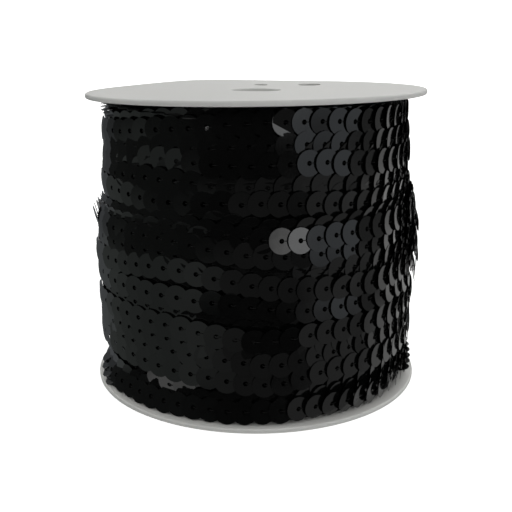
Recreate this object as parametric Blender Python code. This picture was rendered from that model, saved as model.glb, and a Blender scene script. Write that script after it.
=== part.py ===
# Sequin trim wound on a plastic spool.
# The spool stands on its lower flange, its axis is Z, and the origin is the centre of its underside.
# The front of the winding faces -Y. An azimuth is counted in degrees from the front, positive towards +X.

import bpy
import bmesh
from math import cos, sin, exp, pi, radians

# Sizes are in millimetres and become metres where points are made.
MM = 0.001
GAP = 0.3

# The spool
FLANGE_RADIUS = 44.0
FLANGE_THICKNESS = 1.3
RIM_ROUNDING = 0.5
RIM_STEPS = 2
SPOOL_HEIGHT = 76.5
BORE_RADIUS = 6.5
CORE_OUTER_RADIUS = 10.0
SPOOL_SEGMENTS = 72
SHARP_ANGLE = 35.0

# The top flange is bent: it lies flat on the core and its rim lifts, more to the right and at the back.
FLAT_HUB_RADIUS = 12.0
RIM_LIFT = 0.25
RIM_TILT = 0.55
BEND_POWER = 1.5
BACK_BUMP_LIFT = 0.75
BACK_BUMP_AZIMUTH = -156.0
BACK_BUMP_WIDTH = 25.0
BEND_RINGS = 4

# Holes through the top flange behind the bore: place from the axis, width across and length front to back.
FLANGE_HOLES = [
    {"name": "hole_small", "x": 1.5, "y": 23.5, "width": 3.8, "length": 6.0},
    {"name": "hole_large", "x": 15.5, "y": 22.5, "width": 6.4, "length": 8.6},
]
HOLE_SIDES = 16

# The trim: flat round sequins on one thread, each lying over the next
SEQUINS_PER_TURN = 60
SEQUIN_STEP = 0.8
TUCKED_SHARE = 0.75
SCALLOP = 0.5
TURN_STEP = 0.9
UNDERCUT = 0.5

# Height of the lower edge of each turn at the front, from the lowest turn up
TURN_EDGES = [3.4, 7.2, 11.6, 16.0, 20.8, 26.0, 31.2, 35.6, 40.0, 44.4, 48.4, 52.2, 56.2, 60.6, 65.2, 69.8]
WINDING_BOTTOM = FLANGE_THICKNESS + GAP
WINDING_TOP = 74.5
LOWEST_EDGE = 3.0

# How far the winding reaches from the axis at each height: full below, slack above, with the slipped lowest
# turn lying out on the flange
WINDING_REACH = [
    {"height": 1.6, "reach": 43.2},
    {"height": 3.2, "reach": 42.9},
    {"height": 5.0, "reach": 41.8},
    {"height": 12.0, "reach": 41.8},
    {"height": 17.0, "reach": 42.8},
    {"height": 22.0, "reach": 43.0},
    {"height": 28.0, "reach": 42.5},
    {"height": 33.0, "reach": 43.2},
    {"height": 37.5, "reach": 42.3},
    {"height": 42.5, "reach": 43.0},
    {"height": 45.5, "reach": 41.8},
    {"height": 48.5, "reach": 40.9},
    {"height": 57.0, "reach": 40.7},
    {"height": 64.0, "reach": 40.4},
    {"height": 69.0, "reach": 39.7},
    {"height": 74.5, "reach": 39.8},
]

# Colours, roughness and metallic value
WHITE_PLASTIC = {"colour": (0.56, 0.56, 0.54, 1.0), "roughness": 0.4, "metallic": 0.0}
BLACK_SEQUIN = {"colour": (0.008, 0.008, 0.009, 1.0), "roughness": 0.2, "metallic": 0.0}


def make_material(name, finish):
    material = bpy.data.materials.new(name)
    material.use_nodes = True
    shader = material.node_tree.nodes["Principled BSDF"]
    shader.inputs["Base Color"].default_value = finish["colour"]
    shader.inputs["Roughness"].default_value = finish["roughness"]
    shader.inputs["Metallic"].default_value = finish["metallic"]
    return material


def add_object(name, mesh, material):
    mesh.materials.append(material)
    piece = bpy.data.objects.new(name, mesh)
    bpy.context.scene.collection.objects.link(piece)
    return piece


def point_at(azimuth, radius, height):
    # A point in metres from its azimuth in degrees, radius and height in millimetres
    angle = radians(azimuth)
    return (radius * sin(angle) * MM, -radius * cos(angle) * MM, height * MM)


def turned_mesh(name, profile, segments, lift=None):
    # Turns a closed profile of (radius, height) corners about Z. The profile runs counter-clockwise,
    # seen with the axis on its left. lift gives each point's extra height.
    mesh = bpy.data.meshes.new(name)
    shape = bmesh.new()
    rings = []
    for segment in range(segments):
        azimuth = 360.0 * segment / segments
        ring = []
        for radius, height in profile:
            extra = lift(azimuth, radius) if lift else 0.0
            ring.append(shape.verts.new(point_at(azimuth, radius, height + extra)))
        rings.append(ring)
    corners = len(profile)
    for segment in range(segments):
        here = rings[segment]
        there = rings[(segment + 1) % segments]
        for corner in range(corners):
            after = (corner + 1) % corners
            shape.faces.new((here[corner], there[corner], there[after], here[after]))
    bmesh.ops.recalc_face_normals(shape, faces=shape.faces)
    shape.to_mesh(mesh)
    shape.free()
    mesh.shade_smooth()
    mesh.set_sharp_from_angle(angle=radians(SHARP_ANGLE))
    return mesh


def rounded_rim(outer, bottom, top, rounding, steps):
    # Corners of a disc's rim, from the underside round to the top face
    corners = []
    for step in range(steps + 1):
        turn = -pi / 2 + (pi / 2) * step / steps
        corners.append((outer - rounding + rounding * cos(turn), bottom + rounding + rounding * sin(turn)))
    for step in range(steps + 1):
        turn = (pi / 2) * step / steps
        corners.append((outer - rounding + rounding * cos(turn), top - rounding + rounding * sin(turn)))
    return corners


def flange_profile(bottom, middle_rings):
    # middle_rings splits the flat faces so that the flange can bend
    top = bottom + FLANGE_THICKNESS
    last_flat = FLANGE_RADIUS - RIM_ROUNDING
    middles = []
    for ring in range(middle_rings):
        share = ring / middle_rings
        middles.append(FLAT_HUB_RADIUS + (last_flat - FLAT_HUB_RADIUS) * share)
    profile = [(BORE_RADIUS, bottom)]
    profile += [(radius, bottom) for radius in middles]
    profile += rounded_rim(FLANGE_RADIUS, bottom, top, RIM_ROUNDING, RIM_STEPS)
    profile += [(radius, top) for radius in reversed(middles)]
    profile += [(BORE_RADIUS, top)]
    return profile


def angle_between(azimuth, other):
    return (azimuth - other + 180.0) % 360.0 - 180.0


def top_flange_lift(azimuth, radius):
    # The bend grows from nothing at the hub to its full height at the rim
    reach = max(0.0, (radius - FLAT_HUB_RADIUS) / (FLANGE_RADIUS - FLAT_HUB_RADIUS))
    bump = BACK_BUMP_LIFT * exp(-(angle_between(azimuth, BACK_BUMP_AZIMUTH) / BACK_BUMP_WIDTH) ** 2)
    return reach ** BEND_POWER * (RIM_LIFT + RIM_TILT * sin(radians(azimuth)) + bump)


def hole_cutter(hole, bottom, top):
    # A slot with round ends, long enough to pass right through the bent flange
    mesh = bpy.data.meshes.new(hole["name"])
    shape = bmesh.new()
    radius = hole["width"] / 2
    straight = (hole["length"] - hole["width"]) / 2
    outline = []
    for side in range(HOLE_SIDES + 1):
        turn = pi * side / HOLE_SIDES
        outline.append((radius * cos(turn), straight + radius * sin(turn)))
    for side in range(HOLE_SIDES + 1):
        turn = pi + pi * side / HOLE_SIDES
        outline.append((radius * cos(turn), -straight + radius * sin(turn)))
    corners = [shape.verts.new((x * MM, y * MM, bottom * MM)) for x, y in outline]
    base = shape.faces.new(corners)
    lifted = bmesh.ops.extrude_face_region(shape, geom=[base])
    risen = [item for item in lifted["geom"] if isinstance(item, bmesh.types.BMVert)]
    bmesh.ops.translate(shape, vec=(0.0, 0.0, (top - bottom) * MM), verts=risen)
    bmesh.ops.recalc_face_normals(shape, faces=shape.faces)
    shape.to_mesh(mesh)
    shape.free()
    cutter = bpy.data.objects.new(hole["name"], mesh)
    bpy.context.scene.collection.objects.link(cutter)
    cutter.location = (hole["x"] * MM, hole["y"] * MM, 0.0)
    cutter.hide_render = True
    cutter.display_type = "WIRE"
    return cutter


def make_bottom_flange(material):
    mesh = turned_mesh("flange_bottom", flange_profile(0.0, 0), SPOOL_SEGMENTS)
    return add_object("flange_bottom", mesh, material)


def make_top_flange(material):
    bottom = SPOOL_HEIGHT - FLANGE_THICKNESS
    mesh = turned_mesh("flange_top", flange_profile(bottom, BEND_RINGS), SPOOL_SEGMENTS, top_flange_lift)
    flange = add_object("flange_top", mesh, material)
    for hole in FLANGE_HOLES:
        cut = flange.modifiers.new(hole["name"], "BOOLEAN")
        cut.operation = "DIFFERENCE"
        cut.solver = "EXACT"
        cut.object = hole_cutter(hole, bottom - FLANGE_THICKNESS, SPOOL_HEIGHT + FLANGE_THICKNESS)
    return flange


def make_core(material):
    bottom = FLANGE_THICKNESS + GAP
    top = SPOOL_HEIGHT - FLANGE_THICKNESS - GAP
    profile = [
        (BORE_RADIUS, bottom),
        (CORE_OUTER_RADIUS, bottom),
        (CORE_OUTER_RADIUS, top),
        (BORE_RADIUS, top),
    ]
    return add_object("core_tube", turned_mesh("core_tube", profile, SPOOL_SEGMENTS), material)


def between(table, key, value, at):
    # Straight-line value of a table's column at a given place in its key column
    if at <= table[0][key]:
        return table[0][value]
    for low, high in zip(table, table[1:]):
        if at <= high[key]:
            share = (at - low[key]) / (high[key] - low[key])
            return low[value] + share * (high[value] - low[value])
    return table[-1][value]


def turn_edge(turns):
    # Height of the trim's lower edge after a number of turns. Each turn is half done at the front, and the
    # first one lies on the lower flange.
    place = turns - 0.5
    last = len(TURN_EDGES) - 1
    low = int(min(max(place, 0.0), last - 1))
    height = TURN_EDGES[low] + (place - low) * (TURN_EDGES[low + 1] - TURN_EDGES[low])
    return max(height, LOWEST_EDGE)


def winding_columns():
    # Two columns a sequin: its raised left edge, where the round edge has risen from the lowest point of the
    # sequin before, and its right edge, tucked under the next one
    columns = []
    for sequin in range(SEQUINS_PER_TURN):
        for share, drop, rise in ((0.0, 0.0, SCALLOP), (TUCKED_SHARE, SEQUIN_STEP, -SCALLOP)):
            part_of_turn = (sequin + share) / SEQUINS_PER_TURN
            columns.append({
                "part": part_of_turn,
                "azimuth": -180.0 + 360.0 * part_of_turn,
                "drop": drop,
                "rise": rise,
            })
    return columns


def surface_point(shape, column, height, tuck):
    # A point on the outside of the winding, tuck behind its full reach
    reach = between(WINDING_REACH, "height", "reach", height)
    return shape.verts.new(point_at(column["azimuth"], reach - column["drop"] - tuck, height))


def column_points(shape, column):
    # The corners of the winding's section at one azimuth: each turn has a point under its lower edge, tucked
    # back, and one on the edge, standing proud
    inner = CORE_OUTER_RADIUS + GAP
    turns = []
    for turn in range(len(TURN_EDGES)):
        edge = turn_edge(turn + column["part"]) + column["rise"]
        turns.append([
            surface_point(shape, column, edge - UNDERCUT, TURN_STEP),
            surface_point(shape, column, edge, 0.0),
        ])
    return {
        "inner_bottom": shape.verts.new(point_at(column["azimuth"], inner, WINDING_BOTTOM)),
        "outer_bottom": surface_point(shape, column, WINDING_BOTTOM, 0.0),
        "turns": turns,
        "outer_top": surface_point(shape, column, WINDING_TOP, TURN_STEP),
        "inner_top": shape.verts.new(point_at(column["azimuth"], inner, WINDING_TOP)),
    }


def join_columns(shape, here, there, seam):
    # Faces between two neighbouring columns. The trim climbs as one helix, so across the back seam each turn
    # meets the one above it, and the lowest and highest faces take in the turn that has no partner.
    left = here["turns"][:-1] if seam else here["turns"]
    right = there["turns"][1:] if seam else there["turns"]
    first_turn = there["turns"][0] if seam else []
    last_turn = here["turns"][-1][::-1] if seam else []
    shape.faces.new((here["inner_bottom"], there["inner_bottom"], there["outer_bottom"], here["outer_bottom"]))
    shape.faces.new((here["inner_top"], here["outer_top"], there["outer_top"], there["inner_top"]))
    shape.faces.new((here["inner_bottom"], here["inner_top"], there["inner_top"], there["inner_bottom"]))
    shape.faces.new([here["outer_bottom"], there["outer_bottom"]] + first_turn + [right[0][0], left[0][0]])
    shape.faces.new([left[-1][1], right[-1][1], there["outer_top"], here["outer_top"]] + last_turn)
    for low, high in zip(left, right):
        shape.faces.new((low[0], high[0], high[1], low[1]))
    for turn in range(len(left) - 1):
        shape.faces.new((left[turn][1], right[turn][1], right[turn + 1][0], left[turn + 1][0]))


def make_winding(material):
    # A wound ring. Each turn stands proud at its lower edge and is tucked back where the next turn below
    # starts.
    mesh = bpy.data.meshes.new("trim_winding")
    shape = bmesh.new()
    columns = [column_points(shape, column) for column in winding_columns()]
    last = len(columns) - 1
    for place, here in enumerate(columns):
        join_columns(shape, here, columns[(place + 1) % len(columns)], place == last)
    bmesh.ops.triangulate(shape, faces=shape.faces)
    bmesh.ops.recalc_face_normals(shape, faces=shape.faces)
    shape.to_mesh(mesh)
    shape.free()
    return add_object("trim_winding", mesh, material)


def main():
    for old in list(bpy.data.objects):
        bpy.data.objects.remove(old, do_unlink=True)
    white = make_material("white_plastic", WHITE_PLASTIC)
    black = make_material("black_sequin", BLACK_SEQUIN)
    make_bottom_flange(white)
    make_core(white)
    make_winding(black)
    make_top_flange(white)


main()
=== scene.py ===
from math import atan2, ceil, cos, degrees, exp, floor, hypot, pi, radians, sin

import bmesh
import bpy
from mathutils import Euler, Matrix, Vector


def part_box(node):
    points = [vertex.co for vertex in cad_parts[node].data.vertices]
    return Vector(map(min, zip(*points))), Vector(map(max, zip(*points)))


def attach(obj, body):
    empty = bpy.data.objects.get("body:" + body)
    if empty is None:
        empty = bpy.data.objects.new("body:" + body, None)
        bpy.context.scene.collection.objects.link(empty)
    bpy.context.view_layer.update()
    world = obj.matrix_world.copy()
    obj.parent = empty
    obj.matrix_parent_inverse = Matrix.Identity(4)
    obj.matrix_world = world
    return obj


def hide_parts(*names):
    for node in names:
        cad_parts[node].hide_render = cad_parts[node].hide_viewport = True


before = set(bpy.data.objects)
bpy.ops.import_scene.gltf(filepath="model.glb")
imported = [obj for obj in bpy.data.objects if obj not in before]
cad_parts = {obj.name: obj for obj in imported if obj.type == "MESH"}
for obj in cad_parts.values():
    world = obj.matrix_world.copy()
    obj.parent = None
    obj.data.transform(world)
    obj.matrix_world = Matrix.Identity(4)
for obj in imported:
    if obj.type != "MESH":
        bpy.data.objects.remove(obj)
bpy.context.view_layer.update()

# Sizes are in millimetres and become metres where points are made.
MM = 0.001

# One sequin: a thin flat disc with a hole in its middle
SEQUIN_RADIUS = 3.0
SEQUIN_HOLE_RADIUS = 0.6
SEQUIN_THICKNESS = 0.11
SEQUIN_SIDES = 20
HOLE_SIDES = 10

# The stitch that holds a sequin: up through its hole and away under the next sequin
STITCH_RADIUS = 0.09
STITCH_SIDES = 5
STITCH_PATH = [(0.0, -0.5), (0.1, 0.0), (0.35, 0.13), (0.75, 0.12), (1.2, 0.07), (1.5, -0.08)]

# The string of sequins
SEQUIN_PITCH = 4.35
EDGE_STAND = 0.55
FLANGE_CLEARANCE = 0.15
ROOF = 74.9
LOWER_LAYER_DEPTH = 1.1
LOWER_LAYER_SHIFT = 2.6
LOWER_LAYER_RAISED = 1.9
LOWER_LAYER_LEAN = -4.2
LOWER_LAYER_LEAN_GROWTH = 2.4
STAND_JITTER = 0.12
HEIGHT_JITTER = 0.25
RANDOM_TILT = 1.5
TURNS_IN_A_PIECE = 7
END_TURN_REACH = 170.0
STATIONS = (-75.0, -50.0, -30.0, -12.0, 5.0, 22.0, 45.0)

# How far the discs are turned to face along the string, by azimuth round the spool
FACING_TURN = [(-180, 6), (-80, 6), (-12, 6), (22, 6), (40, 8), (53, 10), (66, 7), (90, 5), (180, 6)]

# The turns of the trim, from the lowest up. Each tuple goes with the stations, which are azimuths across the
# front: height is where the holes are, lean tips the faces up, and level is how far the discs stand out or are
# sunk under their neighbours. phase is the azimuth of one hole, and jitter is how unevenly the discs lie.
TURNS = [
    {"height": (4.4, 4.4, 4.4, 4.5, 4.9, 5.1, 5.0), "lean": (26, 18, 13, 11, 11, -2, -2),
     "level": (-0.8, -0.9, -0.9, -0.6, 0.0, 0.1, 0.1), "phase": 19.5, "jitter": 1.0},
    {"height": (9.4, 9.3, 8.8, 8.2, 8.6, 9.3, 9.6), "lean": (8, -8, -15, -4, 8, 4, 2),
     "level": (-1.4, -1.5, -0.2, -1.5, -0.8, -0.5, -0.1), "phase": 22.0, "jitter": 1.2},
    {"height": (14.8, 14.3, 13.4, 12.5, 11.4, 13.7, 14.2), "lean": (0, 0, 0, 1, 8, 1, 0),
     "level": (0.0, 0.0, 0.0, 0.0, 0.1, 0.1, 0.1), "phase": 21.0, "jitter": 1.0},
    {"height": (17.4, 17.8, 18.2, 17.8, 16.4, 17.9, 19.2), "lean": (0, 0, 0, 2, 5, 1, 1),
     "level": (-0.3, -0.3, -0.3, -0.3, -0.1, -0.5, -0.5), "phase": 20.0, "jitter": 1.0},
    {"height": (18.8, 20.9, 21.1, 20.5, 20.0, 20.6, 21.5), "lean": (0, 0, 0, 2, -5, 0, 0),
     "level": (-0.2, -0.2, -0.2, -0.3, -0.6, -0.8, -0.8), "phase": 17.0, "jitter": 1.0},
    {"height": (24.2, 24.6, 24.6, 23.3, 22.4, 23.6, 24.0), "lean": (0, 0, 0, 0, -6, -1, 0),
     "level": (0.0, 0.0, 0.0, 0.0, 0.0, 0.0, 0.0), "phase": 23.0, "jitter": 1.0},
    {"height": (28.2, 28.2, 28.0, 27.4, 26.4, 26.4, 27.0), "lean": (1, 1, 0, -6, -7, -5, 0),
     "level": (-0.6, -0.6, -0.7, -0.9, -1.1, -1.1, -1.1), "phase": 20.0, "jitter": 1.5},
    {"height": (31.7, 31.7, 31.7, 31.4, 30.0, 29.3, 29.9), "lean": (0, 0, 0, -6, -8, 6, 7.5),
     "level": (-0.2, -0.2, -0.2, -0.2, -0.3, -0.3, -0.3), "phase": 22.0, "jitter": 1.0},
    {"height": (36.2, 37.2, 38.4, 37.2, 35.2, 34.3, 34.0), "lean": (0, 0, 0, 0, 0, 2, 1),
     "level": (0.2, 0.2, 0.2, 0.2, 0.1, 0.1, 0.1), "phase": 22.0, "jitter": 1.4},
    {"height": (41.0, 41.6, 42.0, 40.4, 39.0, 38.2, 38.2), "lean": (4, 5, 6, 6, 5, 1, 0),
     "level": (-0.4, -0.4, -0.4, -0.7, -0.6, -0.4, -0.4), "phase": 21.0, "jitter": 1.2},
    {"height": (44.6, 44.8, 45.0, 43.6, 42.4, 42.4, 42.5), "lean": (5, 5, 9, 3.8, -1, 3, 4),
     "level": (-0.6, -0.6, -0.6, -0.2, -0.2, -0.8, -0.9), "phase": 26.5, "jitter": 1.2},
    {"height": (48.2, 48.4, 48.4, 47.4, 46.0, 46.3, 47.0), "lean": (5, 6, 6, 6, 8, 7, 5),
     "level": (-0.2, -0.2, -0.2, -0.1, 0.1, 0.2, 0.2), "phase": 19.5, "jitter": 0.8},
    {"height": (51.0, 50.8, 50.6, 50.2, 49.9, 49.8, 50.0), "lean": (5, 6, 6, -8, -8, -7, -2),
     "level": (-1.0, -1.0, -1.0, -1.0, -1.1, -1.1, -1.1), "phase": 22.0, "jitter": 1.2},
    {"height": (54.2, 53.9, 53.4, 53.8, 54.0, 53.5, 52.6), "lean": (-3, -3, 3, 4, -2, -2, -1),
     "level": (0.3, 0.3, 0.3, 0.1, 0.1, 0.1, 0.1), "phase": 20.1, "jitter": 0.9},
    {"height": (57.8, 58.2, 58.4, 57.6, 57.4, 57.6, 57.0), "lean": (4, 4, 4, 2, -3, -4, -2),
     "level": (-0.1, 0.1, 0.1, -0.4, -0.5, -0.5, -0.5), "phase": 22.1, "jitter": 1.0},
    {"height": (61.6, 62.4, 63.0, 62.3, 62.4, 62.8, 61.6), "lean": (4, 4, -5, 4, 3, 0, 0),
     "level": (-0.3, -0.4, -0.4, -0.2, 0.1, 0.1, 0.1), "phase": 17.0, "jitter": 1.4},
    {"height": (65.0, 65.2, 65.6, 66.0, 66.6, 66.8, 66.2), "lean": (2, 3, 3, 2, 2, 0, 0),
     "level": (-0.4, -0.4, -0.4, -0.4, -0.4, -0.3, -0.3), "phase": 22.6, "jitter": 1.4},
    {"height": (67.4, 68.4, 69.8, 70.9, 71.9, 71.8, 71.2), "lean": (2, -5, 0, 3, 2, -1, -1),
     "level": (0.1, 0.1, 0.0, 0.0, 0.1, 0.1, 0.1), "phase": 21.8, "jitter": 1.4},
    {"height": (74.2, 73.9, 73.2, 72.4, 72.4, 72.4, 72.0), "lean": (4, 4, 4, 4, 4, 4, 0),
     "level": (-0.8, -0.8, -0.8, -0.8, -0.8, -0.8, -0.8), "phase": 15.7, "jitter": 1.0},
]

# Sequins that are pushed out of line: which turn, where and over what spread of azimuth, then how much more
# they lean, turn along the string and stand out. The edge of a spread is this sharp.
SPREAD_SHARPNESS = 16
DISTURBED = [
    {"in": 18, "azimuth": -49.0, "spread": 32.0, "lean": 80.0, "turn": 0.0, "out": -1.6},
    {"in": 18, "azimuth": 9.6, "spread": 3.0, "lean": -9.1, "turn": 0.5, "out": 1.08},
    {"in": 17, "azimuth": 9.6, "spread": 3.0, "lean": 2.5, "turn": 4.0, "out": 0.0},
    {"in": 15, "azimuth": 11.0, "spread": 3.0, "lean": 0.0, "turn": -4.0, "out": 0.0},
    {"in": 0, "azimuth": 45.0, "spread": 34.0, "lean": -2.0, "turn": 6.0, "out": 0.0},
    {"in": 11, "azimuth": 84.0, "spread": 18.0, "lean": 1.0, "turn": -2.0, "out": 0.9},
    {"in": 10, "azimuth": 84.0, "spread": 16.0, "lean": 6.0, "turn": 0.0, "out": 1.4},
    {"in": 9, "azimuth": 84.0, "spread": 14.0, "lean": 6.0, "turn": 0.0, "out": 1.1},
    {"in": 8, "azimuth": 84.0, "spread": 14.0, "lean": 4.0, "turn": 0.0, "out": 0.8},
    {"in": 7, "azimuth": 84.0, "spread": 12.0, "lean": 4.0, "turn": 0.0, "out": 0.5},
    {"in": 10, "azimuth": -86.0, "spread": 9.0, "lean": -20.0, "turn": 4.0, "out": 0.9},
    {"in": 8, "azimuth": 28.0, "spread": 3.0, "lean": -12.0, "turn": 0.0, "out": 0.0},
]

# Places where the string is slack: its sequins lie almost flat on each other like a slipped pile of coins.
# from and to are (azimuth, radius, height), bulge pushes the middle out, tip is how far the discs tip outwards
# at the start and at the end.
SLACK_RUNS = [
    {"from": (-78.0, 40.7, 6.2), "to": (-61.0, 41.1, 2.2), "bulge": 0.4, "count": 5, "tip": (38.0, 40.0)},
    {"from": (91.0, 39.8, 8.4), "to": (74.0, 40.3, 3.2), "bulge": 0.2, "count": 7, "tip": (-4.0, -4.0)},
    {"from": (-92.0, 36.9, 74.5), "to": (-64.0, 37.4, 71.8), "bulge": 0.2, "count": 7, "tip": (0.0, 14.0)},
]

# The drum of packed turns behind the outer layers
DRUM_DEPTH = 2.9
DRUM_RIDGE = 0.35
DRUM_RIDGE_TURNING = 2.1
DRUM_BORE_RADIUS = 10.3
DRUM_STEPS = 96
DRUM_SIDES = 120

# The spool
FLANGE_RADIUS = 44.0
FLANGE_THICKNESS = 1.3
SPOOL_HEIGHT = 76.5
BORE_RADIUS = 6.5
FLAT_HUB_RADIUS = 12.0
RIM_LIFT = 0.25
RIM_TILT = 0.55
BEND_POWER = 1.5
BACK_BUMP_LIFT = 0.75
BACK_BUMP_AZIMUTH = -156.0
BACK_BUMP_WIDTH = 25.0
FLANGE_HOLES = [
    {"x": 1.5, "y": 23.5, "width": 3.8, "length": 6.0},
    {"x": 15.5, "y": 22.5, "width": 6.4, "length": 8.6},
]
FLANGE_RINGS = [8.0, 10.0, 12.0, 16.0, 20.0, 24.0, 28.0, 32.0, 36.0, 39.0, 41.5]
BORE_CHAMFER = 0.15
RIM_ROUNDING = 0.5
SPOOL_SEGMENTS = 240

# The camera, found from the two flanges' outlines
CAMERA_DISTANCE = 210.6
CAMERA_HEIGHT = 88.4
CAMERA_PITCH = 15.16
CAMERA_LENS = 55.34
SENSOR_WIDTH = 36.0

# What the sequins mirror: patches of light round the object as (low, high, softness) in degrees
ROOM_DARK = (0.02, 0.02, 0.02, 1.0)
COOL = (0.88, 0.94, 1.0)
GREENISH = (0.90, 1.0, 0.95)
NEUTRAL = (1.0, 1.0, 0.99)
ROOM_PATCHES = [
    {"azimuth": (-108.0, -30.0, 30.0), "elevation": (-27.0, -11.0, 2.5), "light": 0.18, "colour": GREENISH},
    {"azimuth": (-108.0, -45.0, 30.0), "elevation": (-27.0, 12.0, 4.0), "light": 0.04, "colour": GREENISH},
    {"azimuth": (-30.0, 36.0, 20.0), "elevation": (-26.0, -10.0, 2.0), "light": 0.09, "colour": NEUTRAL},
    {"azimuth": (40.0, 89.0, 1.5), "elevation": (-9.0, 14.0, 2.5), "light": 0.62, "colour": COOL},
    {"azimuth": (51.0, 89.0, 3.0), "elevation": (-40.0, -12.0, 2.5), "light": 0.23, "colour": NEUTRAL},
    {"azimuth": (90.0, 121.0, 3.0), "elevation": (-12.0, 14.0, 3.0), "light": 0.12, "colour": NEUTRAL},
    {"azimuth": (90.0, 105.0, 3.0), "elevation": (-40.0, -12.0, 3.0), "light": 0.14, "colour": NEUTRAL},
    {"azimuth": (124.0, 181.0, 4.0), "elevation": (-12.0, 14.0, 3.0), "light": 0.46, "colour": NEUTRAL},
    {"azimuth": (108.0, 181.0, 4.0), "elevation": (-40.0, -12.0, 3.0), "light": 0.42, "colour": NEUTRAL},
    {"azimuth": (-181.0, -122.0, 5.0), "elevation": (-40.0, 14.0, 4.0), "light": 0.16, "colour": COOL},
    {"azimuth": (32.5, 50.0, 1.5), "elevation": (-1.0, 6.0, 1.5), "light": 2.0, "colour": NEUTRAL},
    {"azimuth": (0.0, 181.0, 60.0), "elevation": (20.0, 44.0, 4.0), "light": 0.3, "colour": NEUTRAL},
    {"azimuth": (-181.0, 181.0, 1.0), "elevation": (20.0, 44.0, 4.0), "light": 1.72, "colour": NEUTRAL},
    {"azimuth": (-181.0, 181.0, 1.0), "elevation": (48.0, 91.0, 4.0), "light": 0.1, "colour": NEUTRAL},
    {"azimuth": (-181.0, 181.0, 1.0), "elevation": (-57.0, -45.0, 2.0), "light": 0.75, "colour": NEUTRAL},
    {"azimuth": (-181.0, 181.0, 1.0), "elevation": (-91.0, -57.0, 2.0), "light": 1.7, "colour": NEUTRAL},
]


def point_at(azimuth, radius, height):
    # A point in metres from an azimuth in degrees and millimetres
    angle = radians(azimuth)
    return Vector((radius * sin(angle), -radius * cos(angle), height)) * MM


def angle_between(azimuth, other):
    return (azimuth - other + 180.0) % 360.0 - 180.0


def random_share(*seeds):
    # A repeatable number from 0 to 1 for a place on the string
    mixed = 0.0
    for count, seed in enumerate(seeds):
        mixed += (seed + 1.37) * (12.9898 + 65.117 * count)
    wave = sin(mixed) * 43758.5453
    return wave - floor(wave)


def add_mesh(name, shape, material=None, smooth_angle=None):
    mesh = bpy.data.meshes.new(name)
    shape.to_mesh(mesh)
    shape.free()
    if smooth_angle is not None:
        mesh.shade_smooth()
        mesh.set_sharp_from_angle(angle=radians(smooth_angle))
    piece = bpy.data.objects.new(name, mesh)
    bpy.context.scene.collection.objects.link(piece)
    if material:
        mesh.materials.append(material)
    return piece


# Shader graphs

class Value:
    """A shader socket. Arithmetic on it adds Math nodes to its graph."""

    def __init__(self, graph, socket):
        self.graph = graph
        self.socket = socket

    def __add__(self, other):
        return self.graph.maths("ADD", self, other)

    def __sub__(self, other):
        return self.graph.maths("SUBTRACT", self, other)

    def __rsub__(self, other):
        return self.graph.maths("SUBTRACT", other, self)

    def __mul__(self, other):
        return self.graph.maths("MULTIPLY", self, other)

    def __pow__(self, other):
        return self.graph.maths("POWER", self, other)

    __radd__ = __add__
    __rmul__ = __mul__


class Graph:
    """The node tree of a material or world, built up by small calls."""

    def __init__(self, tree):
        self.tree = tree

    def feed(self, socket, value):
        if isinstance(value, Value):
            self.tree.links.new(value.socket, socket)
        else:
            socket.default_value = value

    def node(self, kind, settings=None, output=0, **inputs):
        # An input's name has _ for each space, and i2 is the input at place 2
        made = self.tree.nodes.new(kind)
        for name, value in (settings or {}).items():
            setattr(made, name, value)
        for name, value in inputs.items():
            key = int(name[1:]) if name[0] == "i" and name[1:].isdigit() else name.replace("_", " ")
            self.feed(made.inputs[key], value)
        return Value(self, made.outputs[output])

    def maths(self, operation, *values, clamp=False):
        inputs = {f"i{place}": value for place, value in enumerate(values)}
        return self.node("ShaderNodeMath", {"operation": operation, "use_clamp": clamp}, **inputs)

    def mix(self, factor, first, second, blend="MIX"):
        settings = {"data_type": "RGBA", "blend_type": blend}
        return self.node("ShaderNodeMix", settings, output=2, i0=factor, i6=first, i7=second)


def new_material(name):
    material = bpy.data.materials.new(name)
    material.use_nodes = True
    graph = Graph(material.node_tree)
    shader = material.node_tree.nodes["Principled BSDF"]
    return material, graph, shader


def grey(value):
    return (value, value, value, 1.0)


def make_sequin_film():
    # Black film, glossy on its face, with fine haze and a faint waviness
    material, graph, shader = new_material("sequin_film")
    place = graph.node("ShaderNodeTexCoord", output=3)
    haze = graph.node("ShaderNodeTexNoise", Vector=place, Scale=900.0, Detail=3.0)
    patch = graph.node("ShaderNodeTexNoise", Vector=place, Scale=140.0, Detail=2.0)
    tone = graph.mix(patch, grey(0.001), (0.0022, 0.0024, 0.0024, 1.0))
    graph.feed(shader.inputs["Base Color"], tone)
    graph.feed(shader.inputs["Roughness"], 0.07 + haze * 0.05 + patch * 0.05)
    relief = graph.node("ShaderNodeBump", Height=patch, Strength=0.1, Distance=0.0002)
    graph.feed(shader.inputs["Normal"], relief)
    shader.inputs["Specular IOR Level"].default_value = 0.55
    return material


def make_thread():
    # Black polyester thread, dull, with a fine twist
    material, graph, shader = new_material("black_thread")
    place = graph.node("ShaderNodeTexCoord", output=3)
    twist = graph.node("ShaderNodeTexNoise", Vector=place, Scale=4000.0, Detail=2.0)
    graph.feed(shader.inputs["Base Color"], graph.mix(twist, grey(0.001), grey(0.004)))
    graph.feed(shader.inputs["Roughness"], 0.75 + twist * 0.2)
    relief = graph.node("ShaderNodeBump", Height=twist, Strength=0.5, Distance=0.0001)
    graph.feed(shader.inputs["Normal"], relief)
    shader.inputs["Specular IOR Level"].default_value = 0.2
    return material


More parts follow.
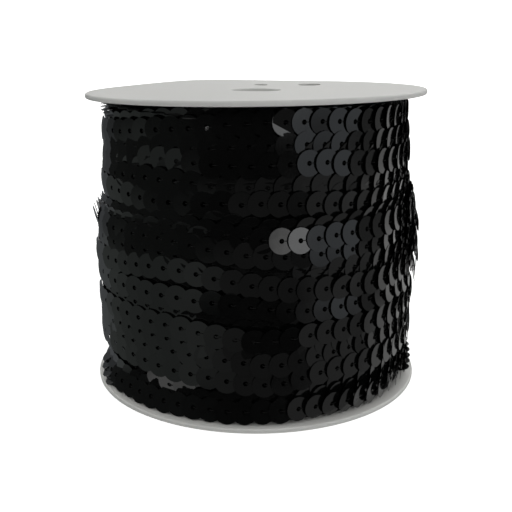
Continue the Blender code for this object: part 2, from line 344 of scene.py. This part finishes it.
def make_spool_plastic():
    # Off-white moulded plastic: soft gloss, faint turned rings and handling marks
    material, graph, shader = new_material("spool_plastic")
    place = graph.node("ShaderNodeTexCoord", output=3)
    split = graph.tree.nodes.new("ShaderNodeSeparateXYZ")
    graph.feed(split.inputs[0], place)
    across = Value(graph, split.outputs[0])
    along = Value(graph, split.outputs[1])
    radius = (across * across + along * along) ** 0.5
    along_radius = {"noise_dimensions": "1D"}
    rings = graph.node("ShaderNodeTexNoise", along_radius, W=radius * 1000.0, Scale=1.1, Detail=3.0)
    cloud = graph.node("ShaderNodeTexNoise", Vector=place, Scale=45.0, Detail=4.0)
    grain = graph.node("ShaderNodeTexNoise", Vector=place, Scale=1500.0, Detail=2.0)
    tone = graph.mix(cloud, (0.50, 0.50, 0.485, 1.0), (0.58, 0.58, 0.565, 1.0))
    graph.feed(shader.inputs["Base Color"], graph.mix(rings * 0.3, tone, (0.52, 0.52, 0.50, 1.0)))
    graph.feed(shader.inputs["Roughness"], 0.33 + cloud * 0.2 + grain * 0.08)
    height = rings * 0.6 + grain * 0.15 + cloud * 0.8
    relief = graph.node("ShaderNodeBump", Height=height, Strength=0.25, Distance=0.0003)
    graph.feed(shader.inputs["Normal"], relief)
    return material


# The string of sequins

def make_sequin_shape():
    # A disc in the XY plane, facing +Z, with its hole; each pair of outer sides meets one side of the hole
    shape = bmesh.new()
    loops = {}
    edges = (("rim", SEQUIN_RADIUS, SEQUIN_SIDES), ("hole", SEQUIN_HOLE_RADIUS, HOLE_SIDES))
    for side, height in (("front", SEQUIN_THICKNESS / 2), ("back", -SEQUIN_THICKNESS / 2)):
        for edge, radius, sides in edges:
            ring = []
            for corner in range(sides):
                angle = 2 * pi * corner / sides
                point = Vector((radius * cos(angle), radius * sin(angle), height))
                ring.append(shape.verts.new(point * MM))
            loops[side, edge] = ring
    step = SEQUIN_SIDES // HOLE_SIDES
    for corner in range(HOLE_SIDES):
        after = (corner + 1) % HOLE_SIDES
        spans = [(corner * step + extra) % SEQUIN_SIDES for extra in range(step + 1)]
        for side in ("front", "back"):
            rim = [loops[side, "rim"][place] for place in spans]
            hole = loops[side, "hole"]
            shape.faces.new(rim + [hole[after], hole[corner]])
    for edge, sides in (("rim", SEQUIN_SIDES), ("hole", HOLE_SIDES)):
        for corner in range(sides):
            after = (corner + 1) % sides
            front = loops["front", edge]
            back = loops["back", edge]
            shape.faces.new((front[corner], front[after], back[after], back[corner]))
    bmesh.ops.recalc_face_normals(shape, faces=shape.faces)
    return shape


def make_stitch_shape():
    # A short bent thread that rises out of the hole and dips under the next sequin, which is towards +X
    shape = bmesh.new()
    rings = []
    for place, (x, z) in enumerate(STITCH_PATH):
        before = STITCH_PATH[max(place - 1, 0)]
        after = STITCH_PATH[min(place + 1, len(STITCH_PATH) - 1)]
        lie = atan2(after[1] - before[1], after[0] - before[0])
        ring = []
        for side in range(STITCH_SIDES):
            angle = 2 * pi * side / STITCH_SIDES
            across = STITCH_RADIUS * cos(angle)
            rise = STITCH_RADIUS * sin(angle)
            point = Vector((x - rise * sin(lie), across, z + rise * cos(lie)))
            ring.append(shape.verts.new(point * MM))
        rings.append(ring)
    for here, there in zip(rings, rings[1:]):
        for side in range(STITCH_SIDES):
            after = (side + 1) % STITCH_SIDES
            shape.faces.new((here[side], here[after], there[after], there[side]))
    shape.faces.new(rings[0])
    shape.faces.new(rings[-1])
    bmesh.ops.recalc_face_normals(shape, faces=shape.faces)
    return shape


def winding_reach():
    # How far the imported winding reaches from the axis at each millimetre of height, read from its solid
    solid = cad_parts["trim_winding"]
    outermost = {}
    for vertex in solid.data.vertices:
        level = round(vertex.co.z / MM)
        reach = hypot(vertex.co.x, vertex.co.y) / MM
        outermost[level] = max(outermost.get(level, 0.0), reach)
    low, high = min(outermost), max(outermost)
    reaches = []
    for level in range(low, high + 1):
        near = [outermost[other] for other in range(level - 2, level + 3) if other in outermost]
        reaches.append((level, max(near)))
    return reaches


REACHES = winding_reach()


def reach_at(height):
    low = REACHES[0][0]
    place = min(max(height - low, 0.0), len(REACHES) - 1.001)
    here = int(place)
    share = place - here
    return REACHES[here][1] * (1 - share) + REACHES[here + 1][1] * share


def smooth(knots, at):
    # A smooth line through knots of (place, value), in order
    if at <= knots[0][0]:
        return knots[0][1]
    for count in range(len(knots) - 1):
        low, high = knots[count], knots[count + 1]
        if at <= high[0]:
            span = high[0] - low[0]
            share = (at - low[0]) / span
            before = knots[max(count - 1, 0)]
            after = knots[min(count + 2, len(knots) - 1)]
            start = (high[1] - before[1]) / (high[0] - before[0]) * span
            end = (after[1] - low[1]) / (after[0] - low[0]) * span
            limit = abs(high[1] - low[1]) * 1.5 + 0.1
            start = max(-limit, min(limit, start))
            end = max(-limit, min(limit, end))
            square, cube = share * share, share ** 3
            return (
                (2 * cube - 3 * square + 1) * low[1]
                + (cube - 2 * square + share) * start
                + (3 * square - 2 * cube) * high[1]
                + (cube - square) * end
            )
    return knots[-1][1]


def string_knots(column):
    # Knots along the whole string: its angle from the start of the first turn, against a value
    knots = []
    for count, turn in enumerate(TURNS):
        for place, station in enumerate(STATIONS):
            knots.append((360.0 * count + station, turn[column][place]))
    return knots


def sequin_places():
    # Angle along the string of every sequin. Each turn has one sequin at its phase, and the pitch between is
    # evened out.
    anchors = [360.0 * count + turn["phase"] for count, turn in enumerate(TURNS)]
    places = []
    for low, high in zip(anchors, anchors[1:]):
        count = int(low // 360)
        height = TURNS[count]["height"][len(STATIONS) // 2]
        pitch = degrees(SEQUIN_PITCH / (reach_at(height) - EDGE_STAND))
        number = round((high - low) / pitch)
        places += [low + (high - low) * step / number for step in range(number)]
    start = anchors[0]
    lead = degrees(SEQUIN_PITCH / reach_at(TURNS[0]["height"][0]))
    before = []
    while start - lead > -END_TURN_REACH:
        start -= lead
        before.insert(0, start)
    after = []
    end = anchors[-1]
    while end < 360.0 * (len(TURNS) - 1) + END_TURN_REACH:
        after.append(end)
        end += lead
    return before + places + after


def lay_sequins(depth, shift, raised):
    # Where each sequin sits and which way it faces. depth sinks a whole layer, shift slides it along and raised
    # lifts it between the turns.
    heights = string_knots("height")
    levels = string_knots("level")
    leans = string_knots("lean")
    laid = []
    for number, angle in enumerate(sequin_places()):
        angle += shift
        azimuth = (angle + 180.0) % 360.0 - 180.0
        turn_count = min(int((angle + 180.0) // 360.0), len(TURNS) - 1)
        height = smooth(heights, angle)
        wobble = random_share(number, depth) - 0.5
        wobble_two = random_share(number, depth, 5) - 0.5
        level = smooth(levels, angle)
        jitter = TURNS[turn_count]["jitter"]
        lean = smooth(leans, angle)
        turn = smooth(FACING_TURN, azimuth)
        for place in DISTURBED:
            if place["in"] == turn_count:
                away = angle_between(azimuth, place["azimuth"]) / place["spread"]
                strength = exp(-away ** SPREAD_SHARPNESS)
                lean += strength * place["lean"]
                turn += strength * place["turn"]
                level += strength * place["out"]
        if depth:
            lean = LOWER_LAYER_LEAN * (1.0 + height / SPOOL_HEIGHT * LOWER_LAYER_LEAN_GROWTH)
        lean += 2.0 * wobble * jitter
        turn += 2.0 * wobble_two * jitter
        radius = reach_at(height) - EDGE_STAND - depth + level + STAND_JITTER * wobble
        height += raised + HEIGHT_JITTER * wobble_two
        standing = SEQUIN_RADIUS * cos(radians(lean)) + FLANGE_CLEARANCE
        height = max(FLANGE_THICKNESS + standing, min(ROOF - standing, height))
        facing = point_at(azimuth + turn, cos(radians(lean)), sin(radians(lean))).normalized()
        along = point_at(azimuth + 90.0, 1.0, 0.0).normalized()
        along = (along - facing * along.dot(facing)).normalized()
        laid.append({
            "turn": turn_count,
            "point": point_at(azimuth, radius, height),
            "facing": facing,
            "along": along,
        })
    return laid


def lay_slack_runs():
    laid = []
    for run in SLACK_RUNS:
        for number in range(run["count"]):
            share = number / (run["count"] - 1)
            azimuth, radius, height = (a + (b - a) * share for a, b in zip(run["from"], run["to"]))
            radius += run["bulge"] * sin(pi * share)
            tip = radians(run["tip"][0] + (run["tip"][1] - run["tip"][0]) * share)
            laid.append({
                "turn": 0 if height < SPOOL_HEIGHT / 2 else len(TURNS) - 1,
                "point": point_at(azimuth, radius, height),
                "facing": point_at(azimuth, sin(tip), cos(tip)).normalized(),
                "along": point_at(azimuth + 90.0, 1.0, 0.0).normalized(),
            })
    return laid


def string_points(name, laid):
    # A mesh of one point for each sequin, which carries the way it faces
    mesh = bpy.data.meshes.new(name)
    mesh.from_pydata([item["point"] for item in laid], [], [])
    for key in ("facing", "along"):
        attribute = mesh.attributes.new(key, "FLOAT_VECTOR", "POINT")
        for place, item in enumerate(laid):
            attribute.data[place].vector = item[key]
    points = bpy.data.objects.new(name, mesh)
    bpy.context.scene.collection.objects.link(points)
    return points


def place_along_string_tree(shape, material, seed):
    # Geometry Nodes: a copy of the shape on each point, turned to its facing, with a little random tilt
    tree = bpy.data.node_groups.new("place_along_string", "GeometryNodeTree")
    tree.interface.new_socket("Geometry", in_out="INPUT", socket_type="NodeSocketGeometry")
    settings = (("Size", "Float", 1.0), ("Tilt", "Float", RANDOM_TILT), ("Seed", "Int", seed))
    for name, kind, default in settings:
        socket = tree.interface.new_socket(name, in_out="INPUT", socket_type="NodeSocket" + kind)
        socket.default_value = default
    tree.interface.new_socket("Geometry", in_out="OUTPUT", socket_type="NodeSocketGeometry")
    nodes, links = tree.nodes, tree.links
    start = nodes.new("NodeGroupInput")
    end = nodes.new("NodeGroupOutput")
    copied = nodes.new("GeometryNodeObjectInfo")
    copied.inputs["Object"].default_value = shape
    rotation = None
    for axis, pivot, key in (("Z", "AUTO", "facing"), ("X", "Z", "along")):
        named = nodes.new("GeometryNodeInputNamedAttribute")
        named.data_type = "FLOAT_VECTOR"
        named.inputs["Name"].default_value = key
        turn = nodes.new("FunctionNodeAlignRotationToVector")
        turn.axis = axis
        turn.pivot_axis = pivot
        links.new(named.outputs["Attribute"], turn.inputs["Vector"])
        if rotation:
            links.new(rotation, turn.inputs["Rotation"])
        rotation = turn.outputs["Rotation"]
    in_radians = nodes.new("ShaderNodeMath")
    in_radians.operation = "RADIANS"
    links.new(start.outputs["Tilt"], in_radians.inputs[0])
    flip = nodes.new("ShaderNodeMath")
    flip.operation = "MULTIPLY"
    flip.inputs[1].default_value = -1.0
    links.new(in_radians.outputs[0], flip.inputs[0])
    low, high = nodes.new("ShaderNodeCombineXYZ"), nodes.new("ShaderNodeCombineXYZ")
    for axis in range(2):
        links.new(flip.outputs[0], low.inputs[axis])
        links.new(in_radians.outputs[0], high.inputs[axis])
    chance = nodes.new("FunctionNodeRandomValue")
    chance.data_type = "FLOAT_VECTOR"
    links.new(low.outputs[0], chance.inputs["Min"])
    links.new(high.outputs[0], chance.inputs["Max"])
    links.new(start.outputs["Seed"], chance.inputs["Seed"])
    tilt = nodes.new("FunctionNodeEulerToRotation")
    links.new(chance.outputs[0], tilt.inputs[0])
    tilted = nodes.new("FunctionNodeRotateRotation")
    tilted.rotation_space = "LOCAL"
    links.new(rotation, tilted.inputs[0])
    links.new(tilt.outputs[0], tilted.inputs[1])
    place = nodes.new("GeometryNodeInstanceOnPoints")
    links.new(start.outputs["Geometry"], place.inputs["Points"])
    links.new(copied.outputs["Geometry"], place.inputs["Instance"])
    links.new(tilted.outputs[0], place.inputs["Rotation"])
    links.new(start.outputs["Size"], place.inputs["Scale"])
    real = nodes.new("GeometryNodeRealizeInstances")
    links.new(place.outputs[0], real.inputs[0])
    finish = nodes.new("GeometryNodeSetMaterial")
    finish.inputs["Material"].default_value = material
    links.new(real.outputs[0], finish.inputs["Geometry"])
    links.new(finish.outputs[0], end.inputs[0])
    return tree


def copies_along(name, laid, shape, material, seed):
    # Runs the tree on the laid points and keeps the result as a plain mesh
    points = string_points(name + "_points", laid)
    modifier = points.modifiers.new("string", "NODES")
    modifier.node_group = place_along_string_tree(shape, material, seed)
    bpy.context.view_layer.update()
    graph = bpy.context.evaluated_depsgraph_get()
    mesh = bpy.data.meshes.new_from_object(points.evaluated_get(graph))
    mesh.name = name
    bpy.data.objects.remove(points, do_unlink=True)
    piece = bpy.data.objects.new(name, mesh)
    bpy.context.scene.collection.objects.link(piece)
    return piece


def make_string(film, thread):
    sequin = add_mesh("sequin_shape", make_sequin_shape())
    stitch = add_mesh("stitch_shape", make_stitch_shape())
    pieces = []
    outer = lay_sequins(0.0, 0.0, 0.0) + lay_slack_runs()
    inner = lay_sequins(LOWER_LAYER_DEPTH, LOWER_LAYER_SHIFT, LOWER_LAYER_RAISED)
    for group in range(ceil(len(TURNS) / TURNS_IN_A_PIECE)):
        turns = range(group * TURNS_IN_A_PIECE, (group + 1) * TURNS_IN_A_PIECE)
        chosen = [item for item in outer if item["turn"] in turns]
        pieces.append(copies_along(f"sequins_{group + 1}", chosen, sequin, film, 3 + group))
        pieces.append(copies_along(f"stitches_{group + 1}", chosen, stitch, thread, 3 + group))
        under = [item for item in inner if item["turn"] in turns]
        pieces.append(copies_along(f"under_sequins_{group + 1}", under, sequin, film, 13 + group))
    for shape in (sequin, stitch):
        bpy.data.objects.remove(shape, do_unlink=True)
    return pieces


def make_under_winding(thread):
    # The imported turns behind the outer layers: a ridged drum that closes the view between the sequins
    low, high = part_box("trim_winding")
    bottom, top = low.z / MM, high.z / MM
    profile = []
    for step in range(DRUM_STEPS + 1):
        height = bottom + (top - bottom) * step / DRUM_STEPS
        ridge = DRUM_RIDGE * sin(height * DRUM_RIDGE_TURNING)
        profile.append((reach_at(height) - DRUM_DEPTH + ridge, height))
    profile += [(DRUM_BORE_RADIUS, top), (DRUM_BORE_RADIUS, bottom)]
    shape = bmesh.new()
    rings = []
    for radius, height in profile:
        azimuths = [360.0 * side / DRUM_SIDES for side in range(DRUM_SIDES)]
        rings.append([shape.verts.new(point_at(azimuth, radius, height)) for azimuth in azimuths])
    rings.append(rings[0])
    for here, there in zip(rings, rings[1:]):
        for side in range(DRUM_SIDES):
            after = (side + 1) % DRUM_SIDES
            shape.faces.new((here[side], here[after], there[after], there[side]))
    bmesh.ops.recalc_face_normals(shape, faces=shape.faces)
    return add_mesh("under_winding", shape, thread, 40.0)


# The spool

def top_flange_lift(azimuth, radius):
    reach = max(0.0, (radius - FLAT_HUB_RADIUS) / (FLANGE_RADIUS - FLAT_HUB_RADIUS))
    bump = BACK_BUMP_LIFT * exp(-(angle_between(azimuth, BACK_BUMP_AZIMUTH) / BACK_BUMP_WIDTH) ** 2)
    return reach ** BEND_POWER * (RIM_LIFT + RIM_TILT * sin(radians(azimuth)) + bump)


def flange_section(bottom):
    # Half section of a flange from the bore outwards: chamfered bore, flat web, blunt rounded rim
    top = bottom + FLANGE_THICKNESS
    rings = [BORE_RADIUS + BORE_CHAMFER] + FLANGE_RINGS
    section = [(BORE_RADIUS, bottom + BORE_CHAMFER)] + [(radius, bottom) for radius in rings]
    for corner, centre in ((-90.0, bottom + RIM_ROUNDING), (0.0, top - RIM_ROUNDING)):
        for step in range(5):
            turn = radians(corner + 90.0 * step / 4)
            radius = FLANGE_RADIUS - RIM_ROUNDING + RIM_ROUNDING * cos(turn)
            section.append((radius, centre + RIM_ROUNDING * sin(turn)))
    section += [(radius, top) for radius in reversed(rings)] + [(BORE_RADIUS, top - BORE_CHAMFER)]
    return section


def turned(section, lift):
    shape = bmesh.new()
    rings = []
    for segment in range(SPOOL_SEGMENTS):
        azimuth = 360.0 * segment / SPOOL_SEGMENTS
        ring = []
        for radius, height in section:
            extra = lift(azimuth, radius) if lift else 0.0
            ring.append(shape.verts.new(point_at(azimuth, radius, height + extra)))
        rings.append(ring)
    for segment, here in enumerate(rings):
        there = rings[(segment + 1) % SPOOL_SEGMENTS]
        for corner in range(len(section)):
            after = (corner + 1) % len(section)
            shape.faces.new((here[corner], there[corner], there[after], here[after]))
    bmesh.ops.recalc_face_normals(shape, faces=shape.faces)
    return shape


def hole_cutter(hole):
    shape = bmesh.new()
    radius = hole["width"] / 2
    straight = (hole["length"] - hole["width"]) / 2
    corners = []
    for end in (0, 1):
        for side in range(25):
            turn = pi * (end + side / 24)
            centre = straight if end == 0 else -straight
            corners.append((hole["x"] + radius * cos(turn), hole["y"] + centre + radius * sin(turn)))
    low = [shape.verts.new(Vector((x, y, SPOOL_HEIGHT - 5.0)) * MM) for x, y in corners]
    high = [shape.verts.new(Vector((x, y, SPOOL_HEIGHT + 5.0)) * MM) for x, y in corners]
    shape.faces.new(low)
    shape.faces.new(high)
    for corner in range(len(corners)):
        after = (corner + 1) % len(corners)
        shape.faces.new((low[corner], low[after], high[after], high[corner]))
    bmesh.ops.recalc_face_normals(shape, faces=shape.faces)
    return add_mesh("hole_cutter", shape)


def make_flanges(plastic):
    lower = add_mesh("lower_flange", turned(flange_section(0.0), None), plastic, 35.0)
    section = flange_section(SPOOL_HEIGHT - FLANGE_THICKNESS)
    upper = add_mesh("upper_flange", turned(section, top_flange_lift), plastic, 35.0)
    for hole in FLANGE_HOLES:
        cutter = hole_cutter(hole)
        cut = upper.modifiers.new("hole", "BOOLEAN")
        cut.operation = "DIFFERENCE"
        cut.solver = "EXACT"
        cut.object = cutter
        bpy.context.view_layer.update()
        graph = bpy.context.evaluated_depsgraph_get()
        mesh = bpy.data.meshes.new_from_object(upper.evaluated_get(graph))
        upper.modifiers.clear()
        upper.data = mesh
        bpy.data.objects.remove(cutter, do_unlink=True)
    upper.data.name = "upper_flange"
    upper.data.shade_smooth()
    upper.data.set_sharp_from_angle(angle=radians(35.0))
    return lower, upper


# The studio

def make_floor():
    shape = bmesh.new()
    corners = [shape.verts.new((x, y, 0.0)) for x, y in ((-3, -3), (3, -3), (3, 3), (-3, 3))]
    shape.faces.new(corners)
    material, _, shader = new_material("floor_paper")
    shader.inputs["Base Color"].default_value = grey(0.9)
    shader.inputs["Roughness"].default_value = 0.9
    shader.inputs["Emission Color"].default_value = grey(1.0)
    shader.inputs["Emission Strength"].default_value = 0.6
    floor_piece = add_mesh("floor", shape, material)
    floor_piece.visible_glossy = False
    floor_piece.visible_diffuse = False


def make_backdrop():
    # A white dome far around the object, seen only by the camera
    shape = bmesh.new()
    bmesh.ops.create_uvsphere(shape, u_segments=48, v_segments=24, radius=2.9)
    bmesh.ops.reverse_faces(shape, faces=shape.faces)
    material, _, shader = new_material("backdrop_white")
    shader.inputs["Base Color"].default_value = grey(0.0)
    shader.inputs["Emission Color"].default_value = grey(1.0)
    shader.inputs["Emission Strength"].default_value = 1.3
    dome = add_mesh("backdrop", shape, material, 60.0)
    dome.visible_diffuse = False
    dome.visible_glossy = False
    dome.visible_transmission = False
    dome.visible_shadow = False


def band(graph, value, low, high, softness):
    # 1 between low and high, fading to 0 over the softness outside them
    rise = graph.maths("MULTIPLY", value - (low - softness), 1.0 / softness, clamp=True)
    fall = graph.maths("MULTIPLY", (high + softness) - value, 1.0 / softness, clamp=True)
    return rise * fall


def make_world():
    # The room round the object, from patches of light named by azimuth and elevation in degrees
    world = bpy.data.worlds.new("studio")
    bpy.context.scene.world = world
    world.use_nodes = True
    graph = Graph(world.node_tree)
    split = graph.tree.nodes.new("ShaderNodeSeparateXYZ")
    graph.feed(split.inputs[0], graph.node("ShaderNodeTexCoord", output=0))
    east = Value(graph, split.outputs[0])
    north = Value(graph, split.outputs[1])
    height = Value(graph, split.outputs[2])
    azimuth = graph.maths("ARCTAN2", east, north * -1.0) * (180.0 / pi)
    elevation = graph.maths("ARCSINE", height) * (180.0 / pi)
    light = ROOM_DARK
    for patch in ROOM_PATCHES:
        side = band(graph, azimuth, *patch["azimuth"])
        rise = band(graph, elevation, *patch["elevation"])
        colour = tuple(patch["light"] * share for share in patch["colour"]) + (1.0,)
        light = graph.mix(side * rise, light, colour, "ADD")
    graph.feed(world.node_tree.nodes["Background"].inputs["Color"], light)


def make_camera():
    data = bpy.data.cameras.new("camera")
    data.lens = CAMERA_LENS
    data.sensor_width = SENSOR_WIDTH
    data.clip_start = 0.01
    data.clip_end = 20.0
    camera = bpy.data.objects.new("camera", data)
    camera.location = (0.0, -CAMERA_DISTANCE * MM, CAMERA_HEIGHT * MM)
    camera.rotation_euler = Euler((radians(90.0 - CAMERA_PITCH), 0.0, 0.0))
    bpy.context.scene.collection.objects.link(camera)
    bpy.context.scene.camera = camera


def main():
    make_camera()
    film = make_sequin_film()
    thread = make_thread()
    plastic = make_spool_plastic()

    for piece in make_string(film, thread) + [make_under_winding(thread)]:
        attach(piece, "root")
        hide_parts("trim_winding")
    lower, upper = make_flanges(plastic)
    for piece, node in ((lower, "flange_bottom"), (upper, "flange_top")):
        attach(piece, "root")
        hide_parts(node)
    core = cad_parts["core_tube"]
    core.data.materials.clear()
    core.data.materials.append(plastic)

    make_floor()
    make_backdrop()
    make_world()
    bpy.context.scene.view_settings.view_transform = "Standard"


main()
